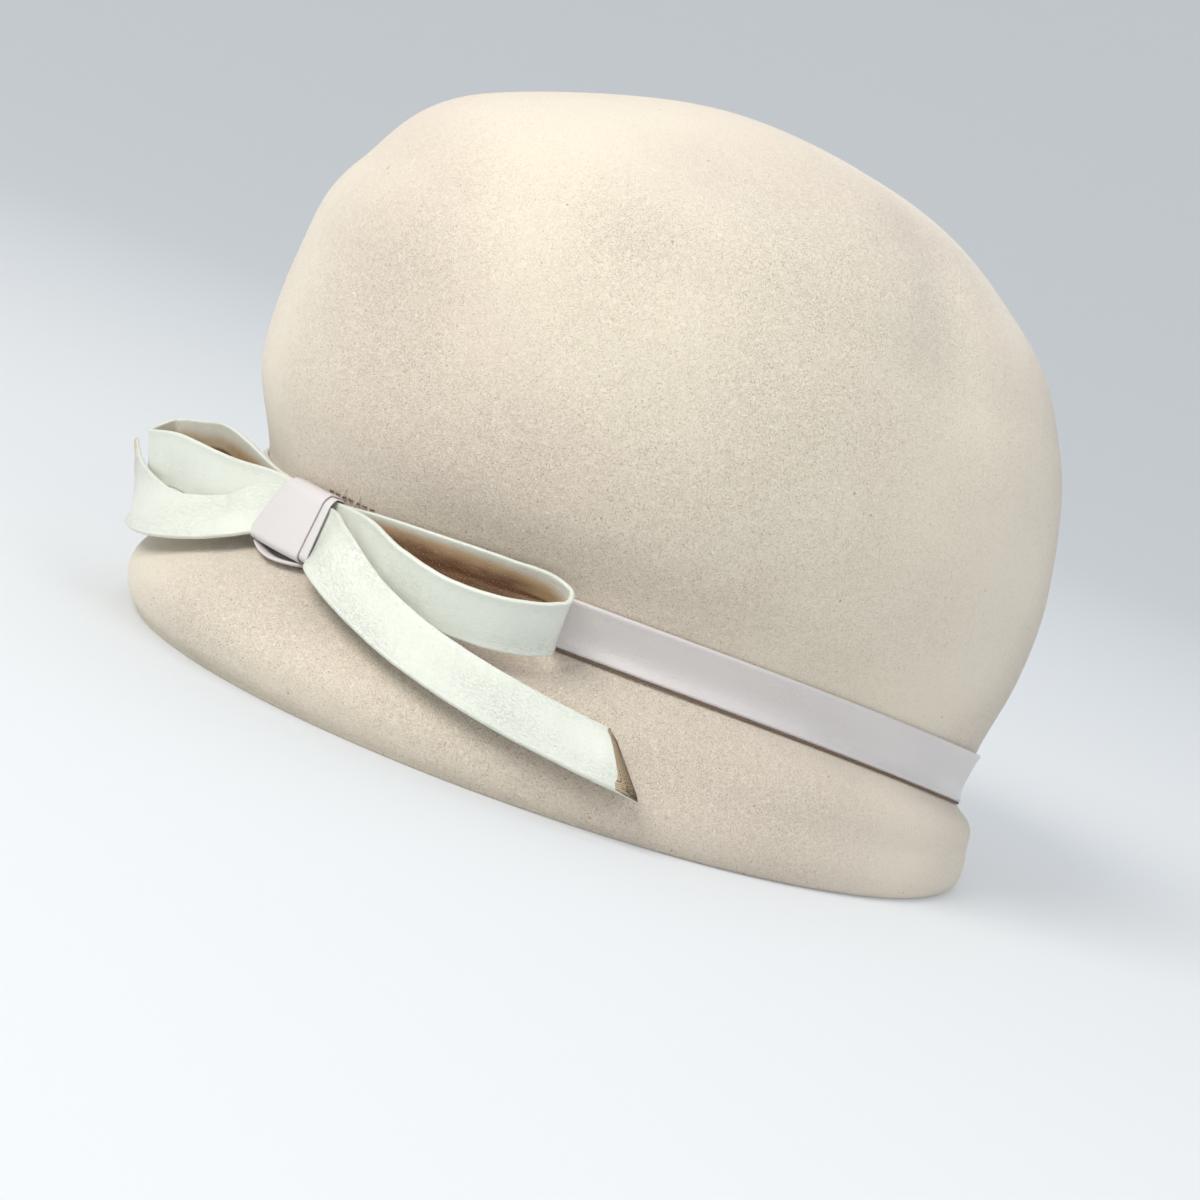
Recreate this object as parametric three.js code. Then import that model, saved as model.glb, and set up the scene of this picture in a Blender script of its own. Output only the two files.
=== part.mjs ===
import * as THREE from "three";

// A lady's cloche hat of blocked felt, with a narrow folded strip round it and a flat bow.
// Millimetres, +Z up. The front of the hat is -Y and the wearer's left is +X. The hat rests on
// the edge of its brim, which lies on z = 0.

// Driving dimensions: the felt
const head_length = 197; // outside the felt at the waist, front to back
const head_width = 163; // outside the felt at the waist, side to side
const height = 155; // edge of the brim to top of the crown
const felt = 2.2; // thickness of the felt
const front_drop = 31.5; // from the waist down to the brim's edge, in front
const back_drop = 12.5; // the same behind
const side_lift = 6; // how far the waist line bows upward at the ears
const front_reach = 23.5; // how far the brim stands out past the waist, in front
const side_reach = 17.5;
const back_reach = 2.5;
const dent_depth = 3; // the crown's deepest soft hollow

// Driving dimensions: the strip, its bow and the room between the pieces
const strip_width = 13;
const strip_thick = 0.9;
const wrap_thick = 0.7; // the strip pulled tight round the knot
const wrap_width = 16; // along the band, half way up
const wrap_taper = 0.15; // share that the wrap is narrower at its top than half way up
const loop_length = 66; // knot to the end of a loop
const loop_depth = 15; // a loop's opening, from the back wall to the front wall
const tail_length = 90; // knot to the cut end of the longer tail
const bow_turn = 6.3; // degrees from the front of the hat to the knot
const bow_rise = -1; // the knot's middle over the band's
const bow_stand = 3.4; // the knot's back in front of the band's hollow middle
const knot_lean = -4; // degrees: the knot's top leans back towards the crown
const knot_flare = 2.4; // the knot is this much deeper at its foot than at its top
const tail_cut = 10; // the slanted cut takes this off the longer tail's upper edge
const knot_slip = 0.8; // the loops sit this far above the knot's middle, and the tails below it
const clear = 0.3; // between neighbouring pieces

// Rings of the brim, from its edge up to the crease. along: way up the profile. front, back and
// side: shares of the three reaches. front_up and back_up: shares of the two drops. lift: share
// of side_lift.
const brim_rings = [
  { name: "edge", along: 0, front: 0.8, back: 0.2, side: 0.92, front_up: 0, back_up: 0, lift: 0 },
  { name: "turn", along: 0.07, front: 1, back: 0.8, side: 1, front_up: 0.15, back_up: 0.2, lift: 0 },
  { name: "fall", along: 0.17, front: 0.98, back: 1, side: 0.86, front_up: 0.48, back_up: 0.55, lift: 0.15 },
  { name: "root", along: 0.25, front: 0.44, back: 0.8, side: 0.5, front_up: 0.8, back_up: 0.86, lift: 0.8 },
];

// Rings of the crown, from the crease to the top. front and back: shares of half the head's
// length. side: share of half its width. front_up and back_up: shares of the crown's rise.
const crown_rings = [
  { name: "waist", along: 0.29, front: 1.005, back: 1, side: 1.005, front_up: 0, back_up: 0, lift: 1 },
  { name: "foot", along: 0.37, front: 1.02, back: 1, side: 1.015, front_up: 0.095, back_up: 0.095, lift: 1 },
  { name: "low", along: 0.47, front: 1.11, back: 1.02, side: 1.085, front_up: 0.26, back_up: 0.255, lift: 0.1 },
  { name: "wide", along: 0.6, front: 1.11, back: 0.99, side: 1.11, front_up: 0.49, back_up: 0.42, lift: 0 },
  { name: "shoulder", along: 0.74, front: 1.05, back: 0.89, side: 1.005, front_up: 0.68, back_up: 0.655, lift: 0 },
  { name: "upper", along: 0.86, front: 0.8, back: 0.66, side: 0.785, front_up: 0.88, back_up: 0.83, lift: 0 },
  { name: "cap", along: 0.95, front: 0.265, back: 0.335, side: 0.3, front_up: 1, back_up: 0.96, lift: 0 },
  { name: "top", along: 1, front: 0, back: 0, side: 0, front_up: 1, back_up: 1, lift: 0 },
];

// Soft dents of the crown. round: degrees from the front towards the wearer's left. along: way
// up the profile. spread and reach: how wide and how tall, in the same two measures. deep: share
// of dent_depth, less than nothing for a swell.
const dents = [
  { name: "brow hollow", round: 48, along: 0.86, spread: 26, reach: 0.045, deep: 1 },
  { name: "crown swell", round: 30, along: 0.93, spread: 30, reach: 0.025, deep: -0.3 },
  { name: "side crease", round: 96, along: 0.8, spread: 9, reach: 0.09, deep: 0.9 },
  { name: "side swell", round: 80, along: 0.9, spread: 10, reach: 0.03, deep: -0.35 },
  { name: "low pucker", round: 119, along: 0.52, spread: 12, reach: 0.05, deep: 0.4 },
];

// The felt's facets: rows of the profile between two of its stations, and columns round it.
const waist_along = 0.29;
const foot_along = 0.37;
const columns = 72;
const spans = [
  { from: 0, to: 0.07, rows: 3 },
  { from: 0.07, to: waist_along, rows: 7 },
  { from: waist_along, to: foot_along, rows: 3 },
  { from: foot_along, to: 1, rows: 15 },
];

const radians = THREE.MathUtils.degToRad;

// Heights and reaches of one ring in mm: front, back, side, front_z, back_z, lift.
function measured(ring, of_brim) {
  const half_length = head_length / 2;
  const half_width = head_width / 2;
  const base = of_brim
    ? [
        half_length + ring.front * front_reach,
        half_length + ring.back * back_reach,
        half_width + ring.side * side_reach,
        ring.front_up * front_drop,
        ring.back_up * back_drop,
      ]
    : [
        ring.front * half_length,
        ring.back * half_length,
        ring.side * half_width,
        front_drop + ring.front_up * (height - front_drop),
        back_drop + ring.back_up * (height - back_drop),
      ];
  return { along: ring.along, sizes: [...base, ring.lift * side_lift] };
}

const rings = [
  ...brim_rings.map((ring) => measured(ring, true)),
  ...crown_rings.map((ring) => measured(ring, false)),
];

// A smooth curve through the rows of a table. Its slope at a row is that of the parabola through
// the row and its two neighbours, and each stretch between rows is a cubic.
function smooth_curve(places, values) {
  const last = places.length - 1;
  const steps = places.slice(1).map((place, i) => place - places[i]);
  const slopes = steps.map((step, i) => values[i + 1].map((value, k) => (value - values[i][k]) / step));
  const tangents = values.map((row, i) => {
    if (i === 0 || i === last) return null;
    const span = steps[i - 1] + steps[i];
    return row.map((_, k) => (slopes[i - 1][k] * steps[i] + slopes[i][k] * steps[i - 1]) / span);
  });
  tangents[0] = slopes[0].map((slope, k) => 2 * slope - tangents[1][k]);
  tangents[last] = slopes[last - 1].map((slope, k) => 2 * slope - tangents[last - 1][k]);
  return (place) => {
    let i = 0;
    while (i < last - 1 && place >= places[i + 1]) i += 1;
    const t = (place - places[i]) / steps[i];
    const near = 2 * t ** 3 - 3 * t ** 2 + 1;
    const near_slope = (t ** 3 - 2 * t ** 2 + t) * steps[i];
    const far_slope = (t ** 3 - t ** 2) * steps[i];
    return values[i].map(
      (value, k) =>
        near * value +
        near_slope * tangents[i][k] +
        (1 - near) * values[i + 1][k] +
        far_slope * tangents[i + 1][k],
    );
  };
}

const profile = smooth_curve(
  rings.map((ring) => ring.along),
  rings.map((ring) => ring.sizes),
);

// The felt's outer surface before its dents: an oval at each height of the profile. Its two
// halves have their own reach, and its height goes smoothly from the front's to the back's.
function smooth_felt(along, angle) {
  const [front, back, side, front_z, back_z, lift] = profile(along);
  const s = Math.sin(angle);
  const c = Math.cos(angle);
  const behind = (1 - c) / 2;
  return new THREE.Vector3(
    side * s,
    -((front - back) / 2 + ((front + back) / 2) * c),
    front_z * (1 - behind) + back_z * behind + lift * s * s,
  );
}

// Outward direction of the felt, from a short step each way.
function outward(along, angle) {
  const step = 1e-3;
  const up = smooth_felt(Math.min(along + step, 1), angle).sub(
    smooth_felt(Math.max(along - step, 0), angle),
  );
  const round = smooth_felt(along, angle + step).sub(smooth_felt(along, angle - step));
  return round.cross(up).normalize();
}

// Depth of the dents at a place: each is a round hill turned inward.
function dent(along, angle) {
  let depth = 0;
  for (const d of dents) {
    const turn = Math.atan2(Math.sin(angle - radians(d.round)), Math.cos(angle - radians(d.round)));
    const across = turn / radians(d.spread);
    const upward = (along - d.along) / d.reach;
    depth += d.deep * dent_depth * Math.exp(-(across ** 2) - upward ** 2);
  }
  return depth;
}

// The felt's surface, moved along its outward direction by an offset. At the edge the wall ends
// level, so the move there is sideways and as long as the slope of the wall makes it.
function felt_point(along, angle, offset = 0) {
  if (along === 1) {
    const top = smooth_felt(1, 0);
    return new THREE.Vector3(top.x, top.y, top.z + offset);
  }
  const place = smooth_felt(along, angle);
  const away = outward(along, angle);
  if (along > 0) return place.addScaledVector(away, offset - dent(along, angle));
  const level = Math.hypot(away.x, away.y);
  away.z = 0;
  return place.addScaledVector(away.divideScalar(level), offset / level);
}

// A closed body from rings of points: each ring is joined to the next. Both ends close on a
// single point each, or the last ring joins the first.
function closed_body(loops, first_point, last_point) {
  const points = [];
  const faces = [];
  const count = loops[0].length;
  for (const loop of loops) for (const p of loop) points.push(p.x, p.y, p.z);
  const joins = first_point ? loops.length - 1 : loops.length;
  for (let i = 0; i < joins; i += 1)
    for (let j = 0; j < count; j += 1) {
      const a = i * count + j;
      const b = i * count + ((j + 1) % count);
      const c = ((i + 1) % loops.length) * count + ((j + 1) % count);
      const d = ((i + 1) % loops.length) * count + j;
      faces.push(a, b, c, a, c, d);
    }
  if (first_point) {
    const head = points.length / 3;
    points.push(first_point.x, first_point.y, first_point.z);
    points.push(last_point.x, last_point.y, last_point.z);
    const start = (loops.length - 1) * count;
    for (let j = 0; j < count; j += 1) {
      const next = (j + 1) % count;
      faces.push(head, next, j);
      faces.push(head + 1, start + j, start + next);
    }
  }
  const geometry = new THREE.BufferGeometry();
  geometry.setAttribute("position", new THREE.Float32BufferAttribute(points, 3));
  geometry.setIndex(faces);
  geometry.computeVertexNormals();
  return geometry;
}

const angles = Array.from({ length: columns }, (_, j) => (2 * Math.PI * j) / columns);

// The crown and brim: the inner surface from the top down to the edge, then the outer surface
// back up, a felt's thickness outside it.
function felt_body() {
  const stations = [];
  for (const span of spans)
    for (let i = 0; i < span.rows; i += 1)
      stations.push(span.from + ((span.to - span.from) * i) / span.rows);
  const outer = stations.map((along) => angles.map((angle) => felt_point(along, angle)));
  const inner = stations.map((along) => angles.map((angle) => felt_point(along, angle, -felt)));
  return closed_body([...inner.reverse(), ...outer], felt_point(1, 0, -felt), felt_point(1, 0));
}

// The band: a flat strip whose inner face keeps clear of the felt between the crease and the
// crown's foot, with its two edges rounded.
function hat_band() {
  const rows = spans[2].rows;
  const edge = strip_thick / 4;
  const stations = Array.from({ length: rows + 1 }, (_, i) => i / rows);
  const face = (share, offset) => {
    const along = waist_along + (foot_along - waist_along) * share;
    return angles.map((angle) => felt_point(along, angle, offset));
  };
  const inner = stations.map((share) => face(share, clear + (share % 1 ? 0 : edge)));
  const outer = stations.map((share) => face(share, clear + strip_thick - (share % 1 ? 0 : edge)));
  return closed_body([...outer, ...inner.reverse()]);
}

const half_length = head_length / 2;
const half_width = head_width / 2;
const knot_angle = radians(bow_turn);
const waist_radius = (half_length + half_width) / 2; // turns a length round the waist into an angle
const bow_back = clear + strip_thick + bow_stand;
const band_middle = (waist_along + foot_along) / 2;

// A place at the bow: its angle round the hat, its depth through the layers of the bow and its
// height across them, which lean back with the knot, then a level distance further out.
function at_bow(angle, through, across, out = 0) {
  const place = felt_point(band_middle, angle);
  const away = outward(band_middle, angle);
  away.z = 0;
  away.normalize();
  const lean = radians(knot_lean);
  const level = through * Math.cos(lean) + across * Math.sin(lean) + out;
  place.addScaledVector(away, bow_back + level);
  place.z += bow_rise + across * Math.cos(lean) - through * Math.sin(lean);
  return { place, away };
}

// How far the middles of the strips lie in front of the wrap's back at the knot.
const layer_step = strip_thick + clear;
const layers = {
  back: { through: wrap_thick + clear + strip_thick / 2, across: knot_slip },
  front: { through: wrap_thick + clear + strip_thick / 2 + layer_step, across: knot_slip },
  tail: { through: wrap_thick + 5 * clear + strip_thick / 2 + 2 * layer_step, across: -knot_slip },
};

// Routes of the bow's strips, row by row. round: share of the piece's length, to the wearer's
// left of the knot where it is more than nothing. out: share of loop_depth beyond the layer at
// the knot. up: share of strip_width above that layer. lean: degrees that the strip's top leans
// away from the hat.
const loop_route = [
  { layer: "front", round: 0.01, out: 0, up: 0, lean: -4 },
  { layer: "front", round: 0.08, out: 0, up: 0, lean: -4 },
  { layer: "front", round: 0.14, out: 0, up: 0, lean: -4 },
  { layer: "front", round: 0.31, out: 0.14, up: 0.02, lean: 6 },
  { layer: "front", round: 0.51, out: 0.48, up: -0.14, lean: 22 },
  { layer: "front", round: 0.71, out: 0.72, up: -0.26, lean: 24 },
  { layer: "front", round: 0.88, out: 0.7, up: -0.18, lean: 20 },
  { layer: "front", round: 0.97, out: 0.48, up: -0.06, lean: 16 },
  { layer: "back", round: 1, out: 0.26, up: 0.1, lean: 14 },
  { layer: "back", round: 0.95, out: 0.06, up: 0.26, lean: 14 },
  { layer: "back", round: 0.8, out: 0, up: 0.26, lean: 12 },
  { layer: "back", round: 0.58, out: 0, up: 0.2, lean: 6 },
  { layer: "back", round: 0.32, out: 0, up: 0.1, lean: -1 },
  { layer: "back", round: 0.14, out: 0, up: 0, lean: -4 },
  { layer: "back", round: 0.08, out: 0, up: 0, lean: -4 },
  { layer: "back", round: -0.08, out: 0, up: 0, lean: -4 },
  { layer: "back", round: -0.14, out: 0, up: 0, lean: -4 },
  { layer: "back", round: -0.28, out: 0.03, up: 0.1, lean: -2 },
  { layer: "back", round: -0.46, out: 0.16, up: 0.28, lean: 6 },
  { layer: "back", round: -0.65, out: 0.42, up: 0.24, lean: 14 },
  { layer: "back", round: -0.83, out: 0.82, up: 0.02, lean: 16 },
  { layer: "front", round: -0.89, out: 1.18, up: -0.1, lean: 16 },
  { layer: "front", round: -0.81, out: 1.42, up: -0.14, lean: 16 },
  { layer: "front", round: -0.57, out: 1.04, up: -0.12, lean: 14 },
  { layer: "front", round: -0.34, out: 0.42, up: -0.08, lean: 6 },
  { layer: "front", round: -0.2, out: 0.07, up: 0, lean: -2 },
  { layer: "front", round: -0.13, out: 0, up: 0, lean: -4 },
  { layer: "front", round: -0.07, out: 0, up: 0, lean: -4 },
  { layer: "front", round: -0.01, out: 0, up: 0, lean: -4 },
];

const tail_route = [
  { layer: "tail", round: 0.97, out: 0.92, up: -1.52, lean: -36 },
  { layer: "tail", round: 0.81, out: 0.92, up: -1.38, lean: -38 },
  { layer: "tail", round: 0.63, out: 0.88, up: -1.16, lean: -40 },
  { layer: "tail", round: 0.45, out: 0.76, up: -0.84, lean: -44 },
  { layer: "tail", round: 0.29, out: 0.52, up: -0.44, lean: -44 },
  { layer: "tail", round: 0.18, out: 0.27, up: -0.12, lean: -28 },
  { layer: "tail", round: 0.115, out: 0.01, up: 0, lean: -12 },
  { layer: "tail", round: 0.05, out: 0, up: 0, lean: -12 },
  { layer: "tail", round: -0.05, out: 0, up: 0, lean: -12 },
  { layer: "tail", round: -0.115, out: 0.01, up: 0, lean: -12 },
  { layer: "tail", round: -0.19, out: 0.3, up: -0.36, lean: -18 },
  { layer: "tail", round: -0.31, out: 0.8, up: -0.72, lean: -28 },
  { layer: "tail", round: -0.46, out: 1.24, up: -0.86, lean: -22 },
  { layer: "tail", round: -0.6, out: 1.42, up: -0.8, lean: -10 },
  { layer: "tail", round: -0.7, out: 1.44, up: -0.56, lean: -6 },
  { layer: "tail", round: -0.78, out: 1.46, up: -0.26, lean: -2 },
];

// A strip swept along its route. Its section is flat with rounded long edges, and stands across
// the route's own direction at each step. A cut slants the first end: it takes that length off
// the upper edge.
function strip(route, length, steps, cut) {
  const rows = route.map((row) => {
    const angle = knot_angle + (row.round * length) / waist_radius;
    const { through, across } = layers[row.layer];
    const { place, away } = at_bow(angle, through, across, row.out * loop_depth);
    place.z += row.up * strip_width;
    const lean = radians(row.lean);
    const width = away.multiplyScalar(Math.sin(lean));
    width.z = Math.cos(lean);
    return [...place.toArray(), ...width.toArray()];
  });
  const ways = [0];
  for (let i = 1; i < rows.length; i += 1)
    ways.push(ways[i - 1] + Math.hypot(...[0, 1, 2].map((k) => rows[i][k] - rows[i - 1][k])));
  const curve = smooth_curve(ways, rows);
  const whole = ways[ways.length - 1];
  const vector = (row, from) => new THREE.Vector3(...row.slice(from, from + 3));
  // Corners of the section: share of half the width, share of half the thickness.
  const section = [
    [-1, -0.45],
    [-0.9, -1],
    [0.9, -1],
    [1, -0.45],
    [1, 0.45],
    [0.9, 1],
    [-0.9, 1],
    [-1, 0.45],
  ];
  const corner = (share, across, through) => {
    const start = (cut * (across + 1)) / 2;
    const way = start + (whole - start) * share;
    const here = curve(way);
    const before = curve(Math.max(way - 0.2, 0));
    const after = curve(Math.min(way + 0.2, whole));
    const forward = vector(after, 0).sub(vector(before, 0)).normalize();
    const face = forward.clone().cross(vector(here, 3)).normalize();
    const edge = face.clone().cross(forward);
    return vector(here, 0)
      .addScaledVector(edge, (across * strip_width) / 2)
      .addScaledVector(face, (through * strip_thick) / 2);
  };
  const loops = Array.from({ length: steps + 1 }, (_, i) =>
    section.map(([across, through]) => corner(i / steps, across, through)),
  );
  const centre = (loop) => loop.reduce((sum, p) => sum.add(p), new THREE.Vector3()).divideScalar(loop.length);
  return closed_body(loops, centre(loops[0]), centre(loops[steps]));
}

// The knot's wrap: a flat tube round all the layers of the bow, in front of the band. Corners of
// its section: share of its depth, share of half its height.
function bow_knot() {
  const corners = [
    [0, -0.8],
    [0.25, -0.88],
    [0.75, -1],
    [1, -0.88],
    [1, 0],
    [1, 0.8],
    [0.75, 1],
    [0.15, 1],
    [0, 0.97],
    [0, 0],
  ];
  const deep = layers.tail.through + strip_thick / 2 + 2 * clear + wrap_thick;
  const half_height = strip_width / 2 + knot_slip + clear + wrap_thick;
  const outline = (side, inset) =>
    corners.map(([through, across]) => {
      const depth = inset + through * (deep - 2 * inset) - (through * across * knot_flare) / 2;
      const along = side * wrap_width * (1 - wrap_taper * across);
      return at_bow(knot_angle + along / waist_radius, depth, across * (half_height - inset)).place;
    });
  const steps = 6;
  const shell = (inset) =>
    Array.from({ length: steps + 1 }, (_, i) => outline(0.5 - i / steps, inset));
  return closed_body([...shell(0), ...shell(wrap_thick).reverse()]);
}

const coated = { metalness: 0, roughness: 0.3 };
const pieces = {
  felt_body: [felt_body(), { color: 0xded4c0, metalness: 0, roughness: 0.95 }],
  hat_band: [hat_band(), { color: 0xd2c9c6, ...coated }],
  bow_loops: [strip(loop_route, loop_length, 84, 0), { color: 0xd8dccd, ...coated }],
  bow_tails: [strip(tail_route, tail_length, 48, tail_cut), { color: 0xd8dccd, ...coated }],
  bow_knot: [bow_knot(), { color: 0xd8d0d2, metalness: 0, roughness: 0.45 }],
};

// The origin lies on z = 0 under the middle of the felt, front to back.
const felt_shape = pieces.felt_body[0];
felt_shape.computeBoundingBox();
const middle_y = felt_shape.boundingBox.getCenter(new THREE.Vector3()).y;

const hat = new THREE.Group();
for (const [name, [geometry, look]] of Object.entries(pieces)) {
  geometry.translate(0, -middle_y, 0);
  const mesh = new THREE.Mesh(geometry, new THREE.MeshStandardMaterial(look));
  mesh.name = name;
  hat.add(mesh);
}

export default hat;
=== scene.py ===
"""Looks of a felt cloche hat: blocked felt, a folded band round the waist and a flat bow."""

import math

import bpy
import numpy as np
from bpy.props import FloatProperty, FloatVectorProperty, PointerProperty
from mathutils import Matrix, Vector


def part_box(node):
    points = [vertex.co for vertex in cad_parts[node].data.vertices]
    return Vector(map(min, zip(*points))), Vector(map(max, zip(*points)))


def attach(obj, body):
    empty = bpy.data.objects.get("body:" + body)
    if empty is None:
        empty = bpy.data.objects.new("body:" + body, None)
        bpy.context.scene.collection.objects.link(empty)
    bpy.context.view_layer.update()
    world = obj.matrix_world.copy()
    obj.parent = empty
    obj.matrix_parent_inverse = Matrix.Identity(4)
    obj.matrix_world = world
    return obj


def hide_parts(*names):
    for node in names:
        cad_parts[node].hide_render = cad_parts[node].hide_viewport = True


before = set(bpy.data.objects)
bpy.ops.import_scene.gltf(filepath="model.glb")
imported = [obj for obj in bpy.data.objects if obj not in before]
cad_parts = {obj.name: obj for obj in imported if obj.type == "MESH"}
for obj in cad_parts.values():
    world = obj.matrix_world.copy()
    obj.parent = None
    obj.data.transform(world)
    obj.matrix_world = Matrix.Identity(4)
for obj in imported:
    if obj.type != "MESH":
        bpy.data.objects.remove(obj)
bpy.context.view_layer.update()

bl_info = {
    "name": "Cloche hat",
    "version": (1, 0, 0),
    "blender": (4, 5, 0),
    "location": "View3D > Sidebar > Hat",
    "description": "Builds a felt cloche hat with a folded band and a flat bow",
    "category": "Object",
}

# The felt's profile, from the edge of the brim to the top of the crown. along: way up the
# profile. Brim rows hold shares of the three reaches and the two drops, crown rows shares of half
# the head's length and width and of the crown's rise. lift: share of side_lift.
# Columns: along, front, back, side, front_up, back_up, lift
BRIM_RINGS = np.array(
    [
        (0.00, 0.80, 0.20, 0.92, 0.00, 0.00, 0.00),
        (0.07, 1.00, 0.80, 1.00, 0.15, 0.20, 0.00),
        (0.17, 0.98, 1.00, 0.86, 0.48, 0.55, 0.15),
        (0.25, 0.44, 0.80, 0.50, 0.80, 0.86, 0.80),
    ]
)
CROWN_RINGS = np.array(
    [
        (0.29, 1.005, 1.000, 1.005, 0.000, 0.000, 1.00),
        (0.37, 1.020, 1.000, 1.015, 0.095, 0.095, 1.00),
        (0.47, 1.110, 1.020, 1.085, 0.260, 0.255, 0.10),
        (0.60, 1.110, 0.990, 1.110, 0.490, 0.420, 0.00),
        (0.74, 1.050, 0.890, 1.005, 0.680, 0.655, 0.00),
        (0.86, 0.800, 0.660, 0.785, 0.880, 0.830, 0.00),
        (0.95, 0.265, 0.335, 0.300, 1.000, 0.960, 0.00),
        (1.00, 0.000, 0.000, 0.000, 1.000, 1.000, 0.00),
    ]
)
WAIST, FOOT = 0.29, 0.37  # along: the band's lower and upper edges

# Soft dents of the crown. Columns: degrees round, along, spread in degrees, reach, depth share
DENTS = np.array(
    [
        (48, 0.86, 26, 0.045, 1.00),
        (30, 0.93, 30, 0.025, -0.30),
        (96, 0.80, 9, 0.090, 0.90),
        (80, 0.90, 10, 0.030, -0.35),
        (119, 0.52, 12, 0.050, 0.40),
    ]
)

# Routes of the bow's strips. round: share of the piece's length, to the wearer's left of the knot
# where it is more than nothing. out: share of the loops' depth beyond the layer at the knot. up:
# share of the strip's width. lean: degrees that the strip's top leans away from the hat. stain:
# how far the face towards a loop's inside is yellowed and browned; this is partly real staining
# and partly painted shade, strongest near the knot, deep inside the loops.
# Columns: layer, round, out, up, lean, and stain for the loops
BACK, FRONT, TAIL = 0, 1, 2
LOOP_ROUTE = np.array(
    [
        (FRONT, 0.01, 0, 0, -4, 0.5),
        (FRONT, 0.08, 0, 0, -4, 0.6),
        (FRONT, 0.14, 0, 0, -4, 0.6),
        (FRONT, 0.31, 0.14, 0.02, 6, 0.8),
        (FRONT, 0.51, 0.48, -0.14, 22, 0.9),
        (FRONT, 0.71, 0.72, -0.26, 24, 0.9),
        (FRONT, 0.88, 0.7, -0.18, 20, 0.5),
        (FRONT, 0.97, 0.48, -0.06, 16, 0.4),
        (FRONT, 0.995, 0.36, 0.01, 15, 0.36),
        (BACK, 0.99, 0.17, 0.18, 14, 0.36),
        (BACK, 0.95, 0.06, 0.26, 14, 0.5),
        (BACK, 0.8, 0, 0.26, 12, 0.72),
        (BACK, 0.58, 0, 0.2, 6, 0.86),
        (BACK, 0.32, 0, 0.1, -1, 0.9),
        (BACK, 0.14, 0, 0, -4, 1),
        (BACK, 0.08, 0, 0, -4, 1),
        (BACK, -0.08, 0, 0, -4, 1),
        (BACK, -0.14, 0, 0, -4, 1),
        (BACK, -0.28, 0.03, 0.02, -2, 0.9),
        (BACK, -0.46, 0.16, 0.16, 6, 0.6),
        (BACK, -0.65, 0.42, 0.25, 14, 0.36),
        (BACK, -0.83, 0.8, 0.06, 16, 0.36),
        (FRONT, -0.9, 1.14, -0.12, 16, 0.42),
        (FRONT, -0.81, 1.42, -0.34, 16, 0.5),
        (FRONT, -0.57, 1.04, -0.12, 14, 0.6),
        (FRONT, -0.34, 0.42, -0.08, 6, 0.8),
        (FRONT, -0.2, 0.07, 0, -2, 0.9),
        (FRONT, -0.13, 0, 0, -4, 1),
        (FRONT, -0.07, 0, 0, -4, 1),
        (FRONT, -0.01, 0, 0, -4, 1),
    ]
)
TAIL_ROUTE = np.array(
    [
        (TAIL, 0.995, 0.92, -1.54, -36),
        (TAIL, 0.81, 0.92, -1.38, -38),
        (TAIL, 0.63, 0.88, -1.16, -40),
        (TAIL, 0.45, 0.76, -0.84, -44),
        (TAIL, 0.29, 0.52, -0.44, -44),
        (TAIL, 0.18, 0.27, -0.12, -28),
        (TAIL, 0.115, 0.01, 0, -12),
        (TAIL, 0.05, 0, 0, -12),
        (TAIL, -0.05, 0, 0, -12),
        (TAIL, -0.115, 0.05, -0.05, -24),
        (TAIL, -0.19, 0.4, -0.44, -36),
        (TAIL, -0.31, 0.94, -0.84, -34),
        (TAIL, -0.46, 1.2, -0.92, -12),
        (TAIL, -0.58, 1.32, -0.84, 10),
        (TAIL, -0.64, 1.5, -0.7, 14),
        (TAIL, -0.67, 1.68, -0.58, 10),
    ]
)

# Outline of the knot's wrap, from the back through the foot and the front. Columns: share of the
# depth, share of the half height
KNOT_CORNERS = np.array(
    [
        (0, -0.8),
        (0.25, -0.88),
        (0.75, -1),
        (1, -0.88),
        (1, 0),
        (1, 0.8),
        (0.75, 1),
        (0.15, 1),
        (0, 0.97),
    ]
)

# Turns of the knot's wrap. Columns: name, inset and thickness as shares of the wrap's thickness,
# right and left end as shares of its width, how far its middle swells in metres
KNOT_TURNS = (
    ("knot_wrap", 0.0, 0.6, 0.5, -0.5, 0.0004),
    ("knot_under_turn", 0.65, 0.35, 0.64, -0.5, 0.0002),
)

# Stitches over the band's top beside the knot: a row of dark ones and two pale tacks. Columns:
# degrees from the knot, place up the profile, length in mm round the hat and in mm up it
DARK_STITCHES = [(1.6 + 1.5 * i, FOOT + 0.009, 1.5, 0.0) for i in range(7)]
PALE_TACKS = [(4.9, FOOT + 0.008, 0.4, 3.4), (7.9, FOOT + 0.008, 0.5, 3.0)]

# Small uneven waves left by hand work. Columns: strength, radians for each unit of the first and
# of the second coordinate, start in radians. The felt's coordinates are the angle round it and
# the way up its profile, and a strip's are metres along it and across it.
FELT_WAVES = ((1, 3, 5, 1.1), (0.7, 7, -9, -0.6), (0.45, 13, 21, 2.4), (0.3, 19, -33, 0.4))
STRIP_WAVES = ((1, 420, 0, 1.3), (0.8, 910, 260, 0.4), (0.5, 1730, -640, 2.2))

UPWARD = np.array([0, 0, 1])

# The camera, as seen from the hat: degrees round from the front, above the floor and of roll,
# the lens over a 36 mm sensor, then metres.
VIEW_AZIMUTH, VIEW_ELEVATION, VIEW_ROLL = 51.66, 3.53, 20.33
VIEW_LENS = 85.92
VIEW_DISTANCE, VIEW_HEIGHT = 0.7, 0.075
VIEW_RIGHT, VIEW_UP = -0.00832, -0.04047


def linear(red, green, blue):
    """Scene-linear colour of an 8-bit screen colour, by the standard sRGB curve."""
    share = np.array([red, green, blue]) / 255
    return tuple(np.where(share <= 0.04045, share / 12.92, ((share + 0.055) / 1.055) ** 2.4))


def length(name, description, default):
    """A property for a size in metres."""
    return FloatProperty(
        name=name, description=description, default=default, unit="LENGTH", precision=5
    )


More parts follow.
